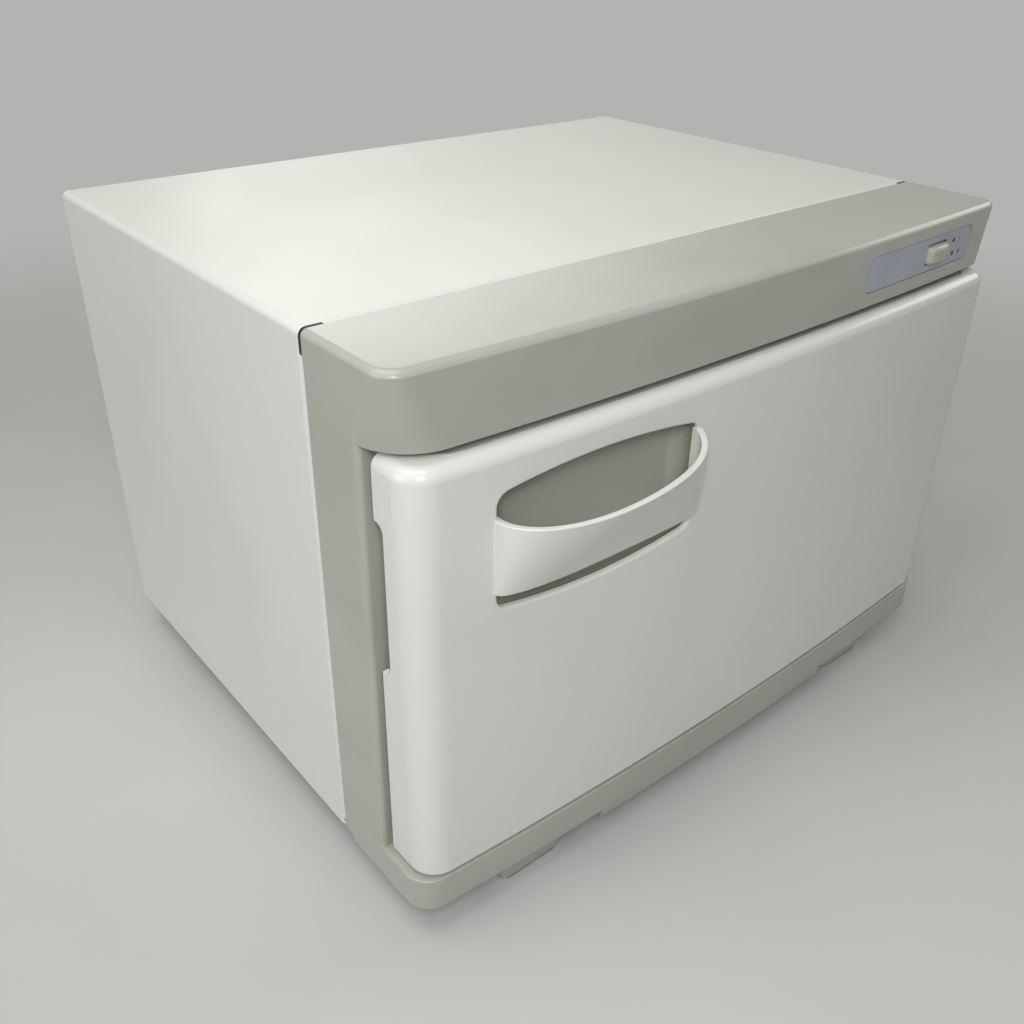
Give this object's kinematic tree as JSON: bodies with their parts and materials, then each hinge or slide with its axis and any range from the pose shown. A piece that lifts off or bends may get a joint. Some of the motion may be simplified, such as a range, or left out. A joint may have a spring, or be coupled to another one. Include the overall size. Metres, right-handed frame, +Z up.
{
  "type": "towel warmer",
  "caption": "Counter-top hot towel cabinet: painted steel casing round a heated tank, moulded front frame with a rocker switch, and a right-hinged door with a strap handle.",
  "frame": {"origin": "on the table under the middle of the object's box", "axes": "+X to the right along the width as seen from the front, +Y to the back, +Z up"},
  "size_m": [0.35, 0.3022, 0.2455],
  "materials": {
    "white_paint": "white stove enamel, satin",
    "white_plastic": "white moulding, glossy",
    "grey_plastic": "warm grey moulding, glossy",
    "liner_plastic": "pale moulding, satin",
    "label_film": "pale lavender-grey film",
    "ivory_plastic": "ivory moulding",
    "black_plastic": "black moulding",
    "aluminium": "bright rolled sheet",
    "galvanised": "zinc-coated sheet",
    "steel": "plain bright steel",
    "chrome_wire": "chromed wire",
    "brass": "turned brass",
    "rubber": "black rubber",
    "silicone": "grey silicone",
    "wool": "mineral wool slab",
    "foil_heater": "etched foil between amber films",
    "ceramic": "glazed ceramic"
  },
  "bodies": {
    "cabinet": {"outer_case": "white_paint", "rear_panel": "white_paint", "base_plate": "galvanised", "front_frame": "grey_plastic", "control_plate": "label_film", "switch_body": "black_plastic", "inner_tank": "aluminium", "heater_mat": "foil_heater", "insulation_top": "wool", "insulation_left": "wool", "insulation_right": "wool", "insulation_bottom": "wool", "insulation_rear": "wool", "thermostat": "black_plastic", "thermal_fuse": "steel", "terminal_block": "ceramic", "cord_gland": "black_plastic", "switch_lead": "black_plastic", "heater_lead": "silicone", "thermostat_lead": "silicone", "fuse_lead": "silicone", "front_foot_left": "grey_plastic", "front_foot_right": "grey_plastic", "rear_foot_left": "rubber", "rear_foot_right": "rubber", "upper_hinge_bush": "brass", "lower_hinge_bush": "brass", "catch_magnet": "black_plastic", "rear_screw_1": "steel", "rear_screw_2": "steel", "rear_screw_3": "steel", "rear_screw_4": "steel", "rear_screw_5": "steel", "rear_screw_6": "steel", "base_screw_1": "steel", "base_screw_2": "steel", "base_screw_3": "steel", "base_screw_4": "steel"},
    "door": {"door_shell": "white_plastic", "handle_pocket": "grey_plastic", "door_liner": "liner_plastic", "door_gasket": "silicone", "door_insulation": "wool", "strike_plate": "steel", "upper_hinge_pin": "steel", "lower_hinge_pin": "steel", "liner_screw_1": "steel", "liner_screw_2": "steel", "liner_screw_3": "steel", "liner_screw_4": "steel"},
    "rocker": {"switch_rocker": "ivory_plastic"},
    "shelf": {"wire_shelf": "chrome_wire", "shelf_leg_1": "chrome_wire", "shelf_leg_2": "chrome_wire", "shelf_leg_3": "chrome_wire", "shelf_leg_4": "chrome_wire"},
    "tray": {"drip_tray": "aluminium"}
  },
  "joints": [
    {"name": "door_hinge", "type": "hinge", "parent": "cabinet", "child": "door", "pos_m": [0.163, -0.11252, 0.1236], "axis": [0, 0, 1], "range_deg": [0, 110]},
    {"name": "rocker_pivot", "type": "hinge", "parent": "cabinet", "child": "rocker", "pos_m": [0.12168, -0.11942, 0.2302], "axis": [-0.999, -0.0443, 0], "range_deg": [0, 18]},
    {"name": "shelf_slide", "type": "slide", "parent": "cabinet", "child": "shelf", "axis": [0, -1, 0], "range_m": [0, 0.008]},
    {"name": "tray_slide", "type": "slide", "parent": "cabinet", "child": "tray", "axis": [0, -1, 0], "range_m": [0, 0.008]}
  ]
}
